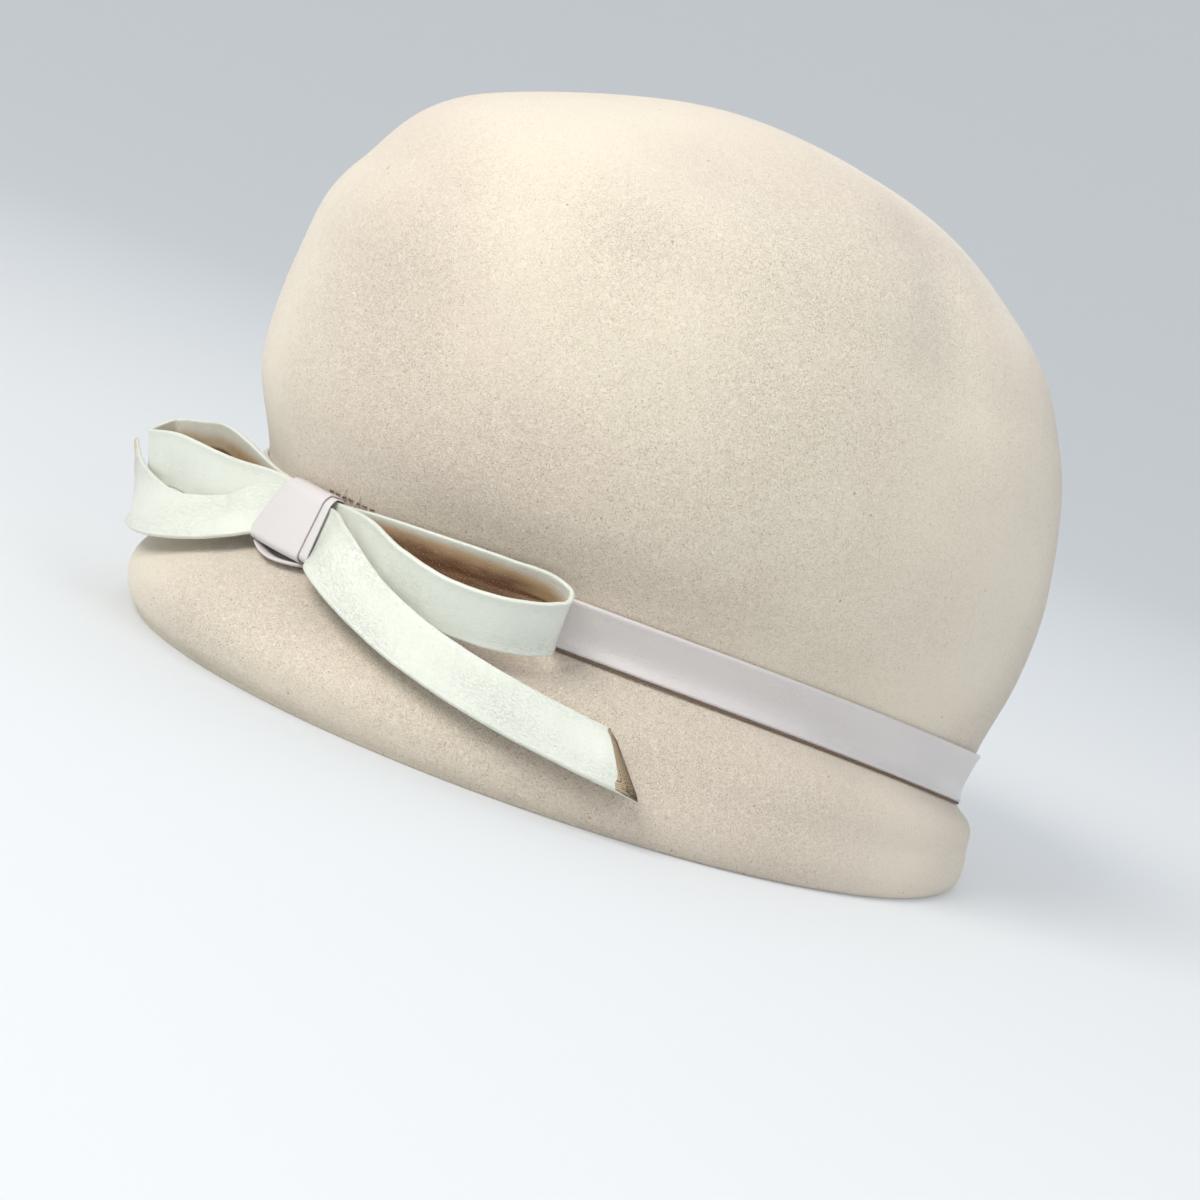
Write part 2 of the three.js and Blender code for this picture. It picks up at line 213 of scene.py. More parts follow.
def degrees(name, description, default):
    """A property for an angle, kept in radians."""
    return FloatProperty(
        name=name, description=description, default=math.radians(default), subtype="ANGLE"
    )


def colour(name, description, *screen):
    """A property for a colour, given as an 8-bit screen colour."""
    return FloatVectorProperty(
        name=name,
        description=description,
        default=linear(*screen),
        size=3,
        min=0,
        max=1,
        subtype="COLOR",
    )


class HatShape(bpy.types.PropertyGroup):
    """Sizes of the felt."""

    head_length: length("Head length", "Outside the felt at the waist, front to back", 0.197)
    head_width: length("Head width", "Outside the felt at the waist, side to side", 0.163)
    height: length("Height", "Edge of the brim to top of the crown", 0.155)
    felt: length("Felt", "Thickness of the felt", 0.0022)
    front_drop: length("Front drop", "From the waist down to the brim's edge, in front", 0.0315)
    back_drop: length("Back drop", "From the waist down to the brim's edge, behind", 0.0125)
    side_lift: length("Side lift", "How far the waist line bows upward at the ears", 0.006)
    front_reach: length("Front reach", "The brim stands out past the waist, in front", 0.0235)
    side_reach: length("Side reach", "The brim stands out past the waist, at the sides", 0.0175)
    back_reach: length("Back reach", "The brim stands out past the waist, behind", 0.0025)
    dent_depth: length("Dent depth", "The crown's deepest soft hollow", 0.003)
    wave: length("Wave", "Height of the waves left by hand blocking", 0.00031182)


class BowShape(bpy.types.PropertyGroup):
    """Sizes of the strip and its bow."""

    width: length("Strip width", "Width of the folded strip", 0.013)
    thick: length("Strip thickness", "Thickness of the folded strip", 0.0009)
    wrap_thick: length("Wrap thickness", "The strip pulled tight round the knot", 0.0007)
    wrap_width: length("Wrap width", "The knot's wrap along the band, half way up", 0.016)
    wrap_skew: length("Wrap skew", "The knot's top stands this far to the wearer's left", 0.0008)
    wrap_taper: FloatProperty(
        name="Wrap taper", description="Share that the wrap is narrower at its top", default=0.15
    )
    loop_length: length("Loop length", "Knot to the end of a loop", 0.066)
    loop_depth: length("Loop depth", "A loop's opening, back wall to front wall", 0.015)
    tail_length: length("Tail length", "Knot to the cut end of the longer tail", 0.09)
    turn: degrees("Bow turn", "From the front of the hat to the knot", 6.3)
    rise: length("Bow rise", "The knot's middle over the band's", -0.001)
    stand: length("Bow stand", "The knot's back in front of the band's hollow middle", 0.0034)
    knot_lean: degrees("Knot lean", "The knot's top leans away from the hat", -4)
    knot_flare: length("Knot flare", "The knot's foot is this much deeper than its top", 0.0024)
    tail_cut: length("Tail cut", "The cut takes this off the longer tail's upper edge", 0.01)
    tail_mouth: length("Tail mouth", "How far the two plies part at the longer tail's cut", 0.005)
    tip_cut: length("Tip cut", "The cut takes this off the shorter tail's lower edge", 0.016)
    knot_slip: length("Knot slip", "The loops sit this far above the knot's middle", 0.0008)
    clear: length("Clearance", "Between neighbouring pieces", 0.0003)
    wave: length("Wave", "Height of the waves in the bow's strips", 0.00009)
    band_wave: length("Band wave", "Height of the waves in the band", 0.00004)
    edge_reach: length("Edge reach", "How far in a folded edge is fuller", 0.0012)
    seam_width: length("Seam width", "Half the width of the loops' seam", 0.00022)
    seam_depth: length("Seam depth", "How deep the loops' seam is pressed in", 0.00016)
    thread: length("Thread", "Half the thickness of the sewing thread", 0.0002)
    # Half thickness of the dark tube under the band: painted shade of the gap there, brown like
    # the band's raw edge.
    gap_shade_and_raw_edge: length("Raw edge", "Half the thickness of the raw edge under the band", 0.00022)


class HatColours(bpy.types.PropertyGroup):
    """Colours of the felt, the strips and the stage."""

    cream: colour("Cream", "The felt where it is cleanest", 226, 216, 196)
    rosy: colour("Rosy", "The felt's warmer patches", 214, 197, 182)
    shade: colour("Fibre shade", "Between the felt's fibres", 164, 142, 118)
    fibre: colour("Fibre", "The felt's uppermost fibres", 244, 236, 220)
    mint: colour("Mint white", "The bow's coated strip", 221, 225, 214)
    lilac: colour("Lilac white", "The band's coated strip", 217, 212, 210)
    wrap: colour("Wrap white", "The knot's wrap", 214, 210, 209)
    # Aged and rust colour the loops' insides: partly real yellowing and stains, partly painted
    # shade deep in the loops.
    aged: colour("Aged coating", "The yellowed inside of the loops", 176, 148, 112)
    rust: colour("Rust brown", "The darkest stains inside the loops", 108, 74, 50)
    backing: colour("Backing", "The woven backing in the tail's cut end", 216, 194, 158)
    thread: colour("Thread", "The sewing thread", 205, 192, 172)
    # Dark thread colours the real dark stitches, and the tube under the band, which is painted
    # shade of the gap there.
    dark: colour("Dark thread", "The raw edge under the band and the dark stitches", 122, 94, 74)
    stage: colour("Stage", "The floor and the backdrop", 203, 206, 208)


def smooth_curve(places, values, at):
    """Rows of values at any place, by cubics through the table's rows.

    The slope at a row is that of the parabola through the row and its two neighbours.
    """
    steps = np.diff(places)
    slopes = np.diff(values, axis=0) / steps[:, None]
    tangents = np.empty_like(values)
    inner = slopes[:-1] * steps[1:, None] + slopes[1:] * steps[:-1, None]
    tangents[1:-1] = inner / (steps[1:] + steps[:-1])[:, None]
    tangents[0] = 2 * slopes[0] - tangents[1]
    tangents[-1] = 2 * slopes[-1] - tangents[-2]
    i = np.clip(np.searchsorted(places, at, side="right") - 1, 0, len(steps) - 1)
    step = steps[i][..., None]
    t = (np.asarray(at)[..., None] - places[i][..., None]) / step
    near = 2 * t**3 - 3 * t**2 + 1
    return (
        near * values[i]
        + (t**3 - 2 * t**2 + t) * step * tangents[i]
        + (1 - near) * values[i + 1]
        + (t**3 - t**2) * step * tangents[i + 1]
    )


def profile_table(hat):
    """The rings in metres: reach in front, behind and aside, height in front and behind, lift."""
    half = (hat.head_length / 2, hat.head_length / 2, hat.head_width / 2)
    reach = (hat.front_reach, hat.back_reach, hat.side_reach)
    drop = (hat.front_drop, hat.back_drop)
    rise = (hat.height - hat.front_drop, hat.height - hat.back_drop)
    brim = np.array([*half, 0, 0, 0]) + BRIM_RINGS[:, 1:] * [*reach, *drop, hat.side_lift]
    crown = np.array([0, 0, 0, *drop, 0]) + CROWN_RINGS[:, 1:] * [*half, *rise, hat.side_lift]
    places = np.concatenate([BRIM_RINGS[:, 0], CROWN_RINGS[:, 0]])
    return places, np.concatenate([brim, crown])


def smooth_felt(hat, along, angle):
    """Felt's outer surface before its dents: an oval at each height, its back half shorter."""
    along, angle = np.broadcast_arrays(along, angle)
    rows = smooth_curve(*profile_table(hat), along)
    front, back, side, front_z, back_z, lift = np.moveaxis(rows, -1, 0)
    s, c = np.sin(angle), np.cos(angle)
    behind = (1 - c) / 2
    y = -((front - back) / 2 + (front + back) / 2 * c)
    z = front_z * (1 - behind) + back_z * behind + lift * s * s
    return np.stack([side * s, y, z], axis=-1)


def unit(vectors):
    """Vectors of length one."""
    return vectors / np.maximum(np.linalg.norm(vectors, axis=-1, keepdims=True), 1e-12)


def outward(hat, along, angle):
    """Felt's outward direction: the cross product of a short step round and a short step up."""
    step = 1e-3
    up = smooth_felt(hat, np.minimum(along + step, 1), angle) - smooth_felt(
        hat, np.maximum(along - step, 0), angle
    )
    round_it = smooth_felt(hat, along, angle + step) - smooth_felt(hat, along, angle - step)
    return unit(np.cross(round_it, up))


def dents(hat, along, angle):
    """Depth of the dents: each is a round hill turned inward, a Gaussian of both distances."""
    depth = np.zeros(np.broadcast(along, angle).shape)
    for place, height, spread, reach, deep in DENTS:
        turn = angle - math.radians(place)
        turn = np.arctan2(np.sin(turn), np.cos(turn)) / math.radians(spread)
        upward = (along - height) / reach
        depth += deep * hat.dent_depth * np.exp(-(turn**2) - upward**2)
    return depth


def waves(table, first, second):
    """A table's sine waves over two coordinates, added up to about -1 to 1."""
    total = sum(row[0] * np.sin(row[1] * first + row[2] * second + row[3]) for row in table)
    return total / sum(row[0] for row in table)


def felt_point(hat, along, angle, offset=0.0):
    """Felt's surface moved along its outward direction by an offset, less the dents."""
    away = outward(hat, along, angle)
    move = offset - dents(hat, along, angle)
    return smooth_felt(hat, along, angle) + move[..., None] * away


def middle_shift(hat):
    """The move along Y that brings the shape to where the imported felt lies."""
    angle = np.array([0, math.pi])
    rows = np.linspace(0.02, 0.7, 400)[:, None]
    ends = felt_point(hat, rows, angle)[..., 1]
    low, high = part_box("felt_body")
    return np.array([0, (low[1] + high[1]) / 2 - (ends.min() + ends.max()) / 2, 0])


def grid_faces(rows, columns, close_rows=False, close_columns=True):
    """Quads of a grid of points numbered row by row, joined end to end where it closes."""
    i = np.arange(rows if close_rows else rows - 1)
    j = np.arange(columns if close_columns else columns - 1)
    i, j = np.meshgrid(i, j, indexing="ij")
    row, next_row = i * columns, (i + 1) % rows * columns
    next_j = (j + 1) % columns
    quads = [row + j, row + next_j, next_row + next_j, next_row + j]
    return np.stack(quads, axis=-1).reshape(-1, 4)


def fan_faces(point, ring, forward):
    """Triangles from one point to a closed ring of points."""
    after = np.roll(ring, -1)
    pair = (ring, after) if forward else (after, ring)
    return np.stack([np.full(len(ring), point), *pair], axis=-1)


def piece(name, points, faces, materials, uv=None, stain=None, slots=None):
    """A smooth mesh object at the origin, from points, a list of face arrays and its materials.

    uv and stain hold a value for each point. slots holds a material number for each face array.
    """
    mesh = bpy.data.meshes.new(name)
    sizes = [np.full(len(f), f.shape[1]) for f in faces]
    corners = np.concatenate([f.ravel() for f in faces])
    totals = np.concatenate(sizes)
    mesh.vertices.add(len(points))
    mesh.vertices.foreach_set("co", np.asarray(points, dtype=np.float32).ravel())
    mesh.loops.add(len(corners))
    mesh.loops.foreach_set("vertex_index", corners.astype(np.int32))
    mesh.polygons.add(len(totals))
    mesh.polygons.foreach_set("loop_start", (np.cumsum(totals) - totals).astype(np.int32))
    for material in materials:
        mesh.materials.append(material)
    if slots is not None:
        numbers = np.concatenate([np.full(len(f), s) for f, s in zip(faces, slots)])
        mesh.polygons.foreach_set("material_index", numbers.astype(np.int32))
    mesh.update(calc_edges=True)
    if mesh.validate():
        raise RuntimeError(f"{name}: its mesh had bad faces")
    mesh.shade_smooth()
    if uv is not None:
        layer = mesh.uv_layers.new(name="strip")
        layer.data.foreach_set("uv", uv[corners].astype(np.float32).ravel())
    if stain is not None:
        data = mesh.attributes.new("stain", "FLOAT", "POINT").data
        data.foreach_set("value", stain.astype(np.float32).ravel())
    made = bpy.data.objects.new(name, mesh)
    bpy.context.scene.collection.objects.link(made)
    return made


class Socket:
    """A node's output, on which Python's operators add Math nodes."""

    def __init__(self, tree, socket):
        self.tree, self.socket = tree, socket

    def maths(self, operation, *values):
        """A Math node on these values."""
        return wire(self.tree, "ShaderNodeMath", {"operation": operation}, dict(enumerate(values)))

    def __add__(self, other):
        return self.maths("ADD", self, other)

    def __sub__(self, other):
        return self.maths("SUBTRACT", self, other)

    def __rsub__(self, other):
        return self.maths("SUBTRACT", other, self)

    def __mul__(self, other):
        return self.maths("MULTIPLY", self, other)

    def __lt__(self, other):
        return self.maths("LESS_THAN", self, other)

    def __gt__(self, other):
        return self.maths("GREATER_THAN", self, other)

    def __abs__(self):
        return self.maths("ABSOLUTE", self)

    __radd__, __rmul__ = __add__, __mul__


def wire(tree, kind, settings=None, inputs=None, output=0):
    """A node of any kind: its settings first, then a value or a link for each named socket."""
    node = tree.nodes.new(kind)
    for key, value in (settings or {}).items():
        setattr(node, key, value)
    for key, value in (inputs or {}).items():
        if isinstance(value, Socket):
            tree.links.new(value.socket, node.inputs[key])
        elif value is not None:
            node.inputs[key].default_value = value
    return Socket(tree, node.outputs[output])


MIX_FACTOR, MIX_A, MIX_B, MIX_COLOUR = 0, 6, 7, 2  # numbers of the Mix node's colour sockets


def blend(tree, factor, first, second, how="MIX"):
    """A colour between two colours."""
    pair = [c if isinstance(c, Socket) else (*c, 1) for c in (first, second)]
    return wire(
        tree,
        "ShaderNodeMix",
        {"data_type": "RGBA", "blend_type": how, "clamp_factor": True},
        {MIX_FACTOR: factor, MIX_A: pair[0], MIX_B: pair[1]},
        MIX_COLOUR,
    )


def between(tree, value, low, high):
    """A value's place between two limits, from 0 to 1 with soft ends."""
    return wire(
        tree,
        "ShaderNodeMapRange",
        {"interpolation_type": "SMOOTHSTEP"},
        {"Value": value, "From Min": low, "From Max": high},
    )


def noise(tree, where, scale, detail=2.0, roughness=0.5, distortion=0.0):
    """Cloudy noise, from 0 to 1 about a half. scale is in features for each metre."""
    sizes = {"Scale": scale, "Detail": detail, "Roughness": roughness, "Distortion": distortion}
    return wire(tree, "ShaderNodeTexNoise", {}, {"Vector": where, **sizes})


def stretched(tree, where, x, y, z=1.0):
    """Coordinates drawn out by a factor along each axis."""
    return wire(
        tree, "ShaderNodeVectorMath", {"operation": "MULTIPLY"}, {0: where, 1: (x, y, z)}
    )


def surface(name, build, **constants):
    """A material whose Principled BSDF gets its constants, then the sockets that build returns.

    build takes the node tree and returns a dict of Base Color, Roughness and Height, with the
    Height in metres.
    """
    material = bpy.data.materials.new(name)
    material.use_nodes = True
    tree = material.node_tree
    shader = tree.nodes["Principled BSDF"]
    for key, value in constants.items():
        shader.inputs[key].default_value = value
    made = build(tree)
    height = made.pop("Height", None)
    if height is not None:
        made["Normal"] = wire(
            tree, "ShaderNodeBump", {}, {"Height": height, "Strength": 1.0, "Distance": 1.0}
        )
    for key, value in made.items():
        tree.links.new(value.socket, shader.inputs[key])
    return material


def object_place(tree):
    """Object coordinates."""
    return wire(tree, "ShaderNodeTexCoord", output=3)


def strip_place(tree):
    """The strip's own coordinates: metres along it and across it."""
    return wire(tree, "ShaderNodeTexCoord", output=2)


def felt_look(colours):
    """Cream wool felt: short matted fibres, soft rosy patches and a few dark specks."""

    def build(tree):
        where = object_place(tree)
        patches = between(tree, noise(tree, where, 14, 3), 0.36, 0.66)
        worn = between(tree, noise(tree, where, 9, 2), 0.34, 0.62)
        grain = noise(tree, where, 2600, 2, 0.6)
        fibres = noise(tree, where, 1150, 3, 0.62, 2.6)
        depth = 0.35 + worn * 0.65
        hollows = between(tree, 1 - fibres, 0.5, 0.68) * between(tree, grain, 0.38, 0.6)
        bright = between(tree, fibres, 0.56, 0.7)
        base = blend(tree, patches * 0.5, tuple(colours.cream), tuple(colours.rosy))
        base = blend(tree, hollows * depth, base, tuple(colours.shade))
        base = blend(tree, bright * depth * 0.6, base, tuple(colours.fibre))
        cells = wire(tree, "ShaderNodeTexVoronoi", {}, {"Vector": where, "Scale": 260.0})
        chosen = noise(tree, where, 60, 1) > 0.6
        specks = (cells < 0.085) * chosen
        base = blend(tree, specks * 0.55, base, tuple(colours.shade), "MULTIPLY")
        height = (fibres * 0.0004 + grain * 0.00014) * depth
        return {"Base Color": base, "Roughness": 0.86 + grain * 0.14, "Height": height}

    return surface("wool_felt", build, **{"Sheen Weight": 0.35, "Sheen Roughness": 0.5})


def coated_look(name, tint, colours, crinkle, gloss):
    """Coated strip: fine crinkles in patches, soft gloss, yellowed and browned where it is
    stained; on the loops' insides the stain is partly painted shade.
    """

    def build(tree):
        where = strip_place(tree)
        stain = wire(tree, "ShaderNodeAttribute", {"attribute_name": "stain"}, output=2)
        veins = noise(tree, stretched(tree, where, 1000, 1500), 1, 1, 0.5, 1.4)
        line = 1 - abs(veins - 0.5) * 10
        ridges = line.maths("MAXIMUM", line, 0.0)
        patches = 0.3 + between(tree, noise(tree, stretched(tree, where, 40, 120), 1, 0), 0.2, 0.9)
        pores = noise(tree, where, 2400, 2)
        mottle = noise(tree, stretched(tree, where, 90, 200), 1, 2, 0.5)
        # Aged yellow, then rust brown where the stain attribute is high: real staining, and on the
        # loops' insides also painted shade deep in the loops.
        deep = between(tree, stain + (mottle - 0.5) * 0.7, 0.35, 0.95)
        base = blend(tree, mottle * 0.04, tint, tuple(colours.aged))
        base = blend(tree, between(tree, stain, 0.04, 0.5), base, tuple(colours.aged))
        base = blend(tree, deep, base, tuple(colours.rust))
        flakes = (pores > 0.62) * between(tree, stain, 0.3, 0.8)
        base = blend(tree, flakes * 0.18, base, tint)
        height = ridges * patches * (0.00005 * crinkle) + pores * 0.00001 + veins * 0.00002
        return {
            "Base Color": base,
            "Roughness": gloss + pores * 0.12 + stain * 0.05,
            "Height": height,
        }

    return surface(name, build, **{"IOR": 1.5, "Coat Roughness": 0.2})


def backing_look(colours):
    """Woven backing: two sets of threads crossing, with dark holes between them."""

    def build(tree):
        where = object_place(tree)
        side = wire(tree, "ShaderNodeSeparateXYZ", {}, {0: where})
        height = wire(tree, "ShaderNodeSeparateXYZ", {}, {0: where}, 2)
        wobble = noise(tree, where, 900, 2) * 1.6
        slant, fineness = 1.6, 4800
        warp = (side * slant + height) * fineness + wobble
        weft = (side * slant - height) * fineness + wobble
        warp = abs(warp.maths("SINE", warp))
        weft = abs(weft.maths("SINE", weft))
        cloth = warp.maths("MINIMUM", warp, weft)
        threads = between(tree, cloth, 0.05, 0.5)
        base = blend(tree, threads, tuple(colours.rust), tuple(colours.backing))
        return {"Base Color": base, "Roughness": 0.8 + threads * 0.1, "Height": cloth * 0.0002}

    return surface("woven_backing", build)


def thread_look(name, tint):
    """Twisted thread: fine dark lines across a plain colour."""

    def build(tree):
        twist = noise(tree, object_place(tree), 3000, 2)
        base = blend(tree, twist * 0.5, tint, tuple(0.5 * c for c in tint))
        return {"Base Color": base, "Roughness": 0.6 + twist * 0.3, "Height": twist * 0.00008}

    return surface(name, build)


def stage_look(colours):
    """Plain matt card, with the faintest cloud in it."""

    def build(tree):
        cloud = noise(tree, object_place(tree), 1.5, 2)
        shade = tuple(colours.stage)
        return {"Base Color": blend(tree, cloud * 0.12, shade, tuple(0.9 * c for c in shade))}

    glow = {"Emission Color": (*colours.stage, 1), "Emission Strength": 0.22}
    return surface("stage_card", build, **{"Roughness": 0.9, "Specular IOR Level": 0.2}, **glow)


def bow_place(hat, bow, angle, through, across, out=0.0):
    """A place at the bow and the level direction away from the hat there.

    It starts on the felt half way up the band, then goes level through the layers and across
    them, both leaning back with the knot, and then level further out.
    """
    middle = (WAIST + FOOT) / 2
    angle = np.asarray(angle, dtype=float)
    place = smooth_felt(hat, middle, angle)
    away = outward(hat, middle, angle)
    place = place - dents(hat, middle, angle)[..., None] * away
    away[..., 2] = 0
    away = unit(away)
    back = bow.clear + bow.thick + bow.stand
    s, c = math.sin(bow.knot_lean), math.cos(bow.knot_lean)
    level = back + through * c + across * s + out
    rise = bow.rise + across * c - through * s
    return place + level[..., None] * away + rise[..., None] * UPWARD, away


def layer_places(bow):
    """Each layer's middle at the knot: through the layers and across them."""
    step = bow.thick + bow.clear
    back = bow.wrap_thick + bow.clear + bow.thick / 2
    tail = bow.wrap_thick + 5 * bow.clear + bow.thick / 2 + 2 * step
    return np.array(
        [(back, bow.knot_slip), (back + step, bow.knot_slip), (tail, -bow.knot_slip)]
    )


def waist_radius(hat):
    """The mean radius of the waist, which turns a length round it into an angle."""
    return (hat.head_length + hat.head_width) / 4


def route_curve(hat, bow, route, reach):
    """A route's rows as places and width directions, with the way along it to each row."""
    angle = bow.turn + route[:, 1] * reach / waist_radius(hat)
    through, across = layer_places(bow)[route[:, 0].astype(int)].T
    place, away = bow_place(hat, bow, angle, through, across, route[:, 2] * bow.loop_depth)
    place[:, 2] += route[:, 3] * bow.width
    lean = np.radians(route[:, 4])
    width = away * np.sin(lean)[:, None]
    width[:, 2] = np.cos(lean)
    ways = np.concatenate([[0], np.cumsum(np.linalg.norm(np.diff(place, axis=0), axis=1))])
    return ways, np.concatenate([place, width], axis=1)


def route_frames(curve, way):
    """Place, edge direction and face direction at each way along a route."""
    ways, rows = curve
    step = 0.0002
    here = smooth_curve(ways, rows, way)
    before = smooth_curve(ways, rows, np.maximum(way - step, 0))
    after = smooth_curve(ways, rows, np.minimum(way + step, ways[-1]))
    forward = unit(after[..., :3] - before[..., :3])
    face = unit(np.cross(forward, here[..., 3:]))
    return here[..., :3], np.cross(face, forward), face


def strip_section(bow, points):
    """Outline of a folded strip: flat faces and round edges a little fuller than the middle.

    Returns the share across, from -1 to 1, and the share through, for the front from edge to edge
    and then for the back. Points crowd towards the edges as a sine does.
    """
    middle_share, edge_share = 0.86, 0.6
    across = np.sin(np.linspace(-math.pi / 2, math.pi / 2, points))
    corner = bow.thick / bow.width
    past = np.clip((np.abs(across) - (1 - corner)) / corner, 0, 1)
    from_edge = (1 - np.abs(across)) * bow.width / 2
    full = middle_share + edge_share * np.exp(-((from_edge / bow.edge_reach) ** 2))
    through = np.sqrt(1 - past**2) * full
    return np.concatenate([across, across[-2:0:-1]]), np.concatenate([through, -through[-2:0:-1]])


def swept_strip(curve, bow, steps, points, cut=0.0, mouth=0.0, far_cut=0.0):
    """A strip swept along its route: points, its own coordinates and the section's two shares.

    Every point stands on the route at its way, goes across it along the edge direction and
    through it along the face direction. The cut slants the first end: a point's way starts later
    the nearer it is to the upper edge. The mouth parts the two plies there as a lens that closes
    over the first centimetre, and the front ply is shorter towards the lower edge. The far cut
    takes its length off the lower edge at the other end.
    """
    across, through = strip_section(bow, points)
    aside = across * bow.width / 2
    whole = curve[0][-1]
    front = np.clip(-through, 0, 1)
    spare = 0.5 * mouth
    bulge = spare * np.sqrt(np.clip(1 - across**2, 0, 1)) * (1 - front)
    start = cut * (across + 1) / 2 + spare - bulge + mouth * front * ((1 - across) / 2) ** 0.5
    end = whole - far_cut * ((1 - across) / 2) ** 0.7
    share = np.linspace(0, 1, steps + 1)[:, None]
    way = start + (end - start) * share
    closes_over = 0.006
    parted = 0.7 * mouth * (1 - across**2) * np.exp(-(((way - start) / closes_over) ** 2))
    place, edge, face = route_frames(curve, way)
    wave = bow.wave * waves(STRIP_WAVES, way, aside)
    depth = through * bow.thick / 2 + wave + np.sign(through) * parted / 2
    place = place + aside[:, None] * edge + depth[..., None] * face
    uv = np.stack(np.broadcast_arrays(way, aside), axis=-1)
    return place, uv, across, through


def strip_faces(steps, points):
    """Faces of a swept strip, and of a cap of two plies drawn together at each of its ends."""
    count = 2 * points - 2
    body = grid_faces(steps + 1, count)[:, ::-1]
    caps = []
    for row in (0, steps):
        first = row * count
        front = first + np.arange(points)
        behind = first + np.arange(count - 1, points - 1, -1)
        back = np.concatenate([[first], behind, [first + points - 1]])
        quads = np.stack([front[:-1], front[1:], back[1:], back[:-1]], axis=-1)[1:-1]
        tips = np.array([[front[0], front[1], back[1]], [front[-1], back[-2], front[-2]]])
        if row > 0:
            quads, tips = quads[:, ::-1], tips[:, ::-1]
        caps += [quads, tips]
    return body, caps


def tube(middles, aside, upward, half_wide, half_tall, sides):
    """Rings of points round a line: an ellipse along two directions at each of its points."""
    turn = np.linspace(0, 2 * math.pi, sides, endpoint=False)
    wide = np.reshape(half_wide, (-1, 1, 1)) * np.cos(turn)[:, None]
    tall = np.reshape(half_tall, (-1, 1, 1)) * np.sin(turn)[:, None]
    upward = np.broadcast_to(upward, middles.shape)
    return middles[:, None] + wide * aside[:, None] + tall * upward[:, None]


class HAT_OT_felt(bpy.types.Operator):
    """Crown and brim of blocked felt, with a softly rounded edge"""

    bl_idname = "hat.felt"
    bl_label = "Felt"

    def execute(self, context):
        """Outer rows from the top down, a round edge, then inner rows back up to the top.

        A point is the felt's surface at its height and angle, moved along the outward direction
        by the soft waves outside and by the felt's thickness inside. The waves fade at the edge,
        at the top and under the band. The edge rows go straight from the outer wall to the inner
        one and bulge down to the floor.
        """
        hat = context.scene.hat_shape
        around, crown_rows, brim_rows, inner_rows, edge_rows = 400, 104, 66, 58, 9
        lowest, highest = 0.016, 0.997
        edge_fade, top_fade, band_fade, calm = 0.05, 0.14, 0.06, 0.8
        angle = np.linspace(0, 2 * math.pi, around, endpoint=False)
        crown = np.linspace(highest, FOOT, crown_rows)
        brim = np.linspace(FOOT, lowest, brim_rows)[1:]
        along = np.concatenate([crown, brim])[:, None]
        fade = np.clip((along - lowest) / edge_fade, 0, 1)
        fade = fade * np.clip((1 - along) / top_fade, 0, 1) ** 2
        near_band = np.exp(-(((along - (WAIST + FOOT) / 2) / band_fade) ** 2))
        wave = hat.wave * waves(FELT_WAVES, angle, along) * fade * (1 - calm * near_band)
        outer = felt_point(hat, along, angle, wave)
        inside_along = np.linspace(lowest, highest, inner_rows)[:, None]
        inner = felt_point(hat, inside_along, angle, -hat.felt)
        share = np.linspace(0, 1, edge_rows)[1:-1, None, None]
        edge = outer[-1] + (inner[0] - outer[-1]) * share
        edge[..., 2:] *= 1 - np.sin(math.pi * share) ** 0.7
        rows = np.concatenate([outer, edge, inner])
        tops = smooth_felt(hat, 1.0, np.zeros(1)) - np.array([[0, 0, 0], [0, 0, hat.felt]])
        points = np.concatenate([rows.reshape(-1, 3), tops]) + middle_shift(hat)
        body = grid_faces(len(rows), around)[:, ::-1]
        last = len(rows) * around
        caps = [
            fan_faces(last, np.arange(around), True),
            fan_faces(last + 1, np.arange(last - around, last), False),
        ]
        look = felt_look(context.scene.hat_colours)
        made = piece("blocked_felt", points, [body, *caps], [look])
        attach(made, "root")
        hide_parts("felt_body")
        return {"FINISHED"}


class HAT_OT_band(bpy.types.Operator):
    """Folded band round the waist, with a dark line under it: painted shade of the gap under the
    band, brown like its raw edge
    """

    bl_idname = "hat.band"
    bl_label = "Band"

    def execute(self, context):
        """The strip's outline carried round the waist.

        The share across it is the way up the felt between the crease and the crown's foot, and
        the share through it is the distance from the felt.
        """
        hat, bow = context.scene.hat_shape, context.scene.bow_shape
        around, points_across = 720, 25
        angle = np.linspace(0, 2 * math.pi, around, endpoint=False)
        across, through = strip_section(bow, points_across)
        along = (WAIST + FOOT) / 2 + (FOOT - WAIST) / 2 * across
        way, aside = angle[:, None] * waist_radius(hat), across * bow.width / 2
        wave = bow.band_wave * waves(STRIP_WAVES, way, aside)
        offset = bow.clear + bow.thick / 2 * (1 + through) + wave
        rows = felt_point(hat, along, angle[:, None], offset)
        uv = np.stack(np.broadcast_arrays(way, aside), axis=-1).reshape(-1, 2)
        faces = grid_faces(len(angle), len(across), close_rows=True)[:, ::-1]
        colours = context.scene.hat_colours
        look = coated_look("band_coating", tuple(colours.lilac), colours, 0.7, 0.24)
        points = rows.reshape(-1, 3) + middle_shift(hat)
        band = piece("folded_band", points, [faces], [look], uv, np.zeros(len(points)))
        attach(band, "root")
        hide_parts("hat_band")
        middle = rows[:, points_across // 2]

        # A dark tube just under the band's lower edge: painted shade of the gap between band and
        # felt, brown like the band's raw edge.
        sides, below_waist = 8, 0.0025
        middle = felt_point(hat, np.array(WAIST - below_waist), angle, bow.clear * 1.6)
        away = outward(hat, WAIST, angle)
        away[:, 2] = 0
        rings = tube(middle, unit(away), UPWARD, bow.gap_shade_and_raw_edge, bow.gap_shade_and_raw_edge, sides)
        points = rings.reshape(-1, 3) + middle_shift(hat)
        faces = grid_faces(around, sides, close_rows=True)[:, ::-1]
        look = thread_look("gap_shade_and_raw_edge", tuple(colours.dark))
        raw = piece("band_gap_shade_line", points, [faces], [look])
        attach(raw, "root")
        return {"FINISHED"}


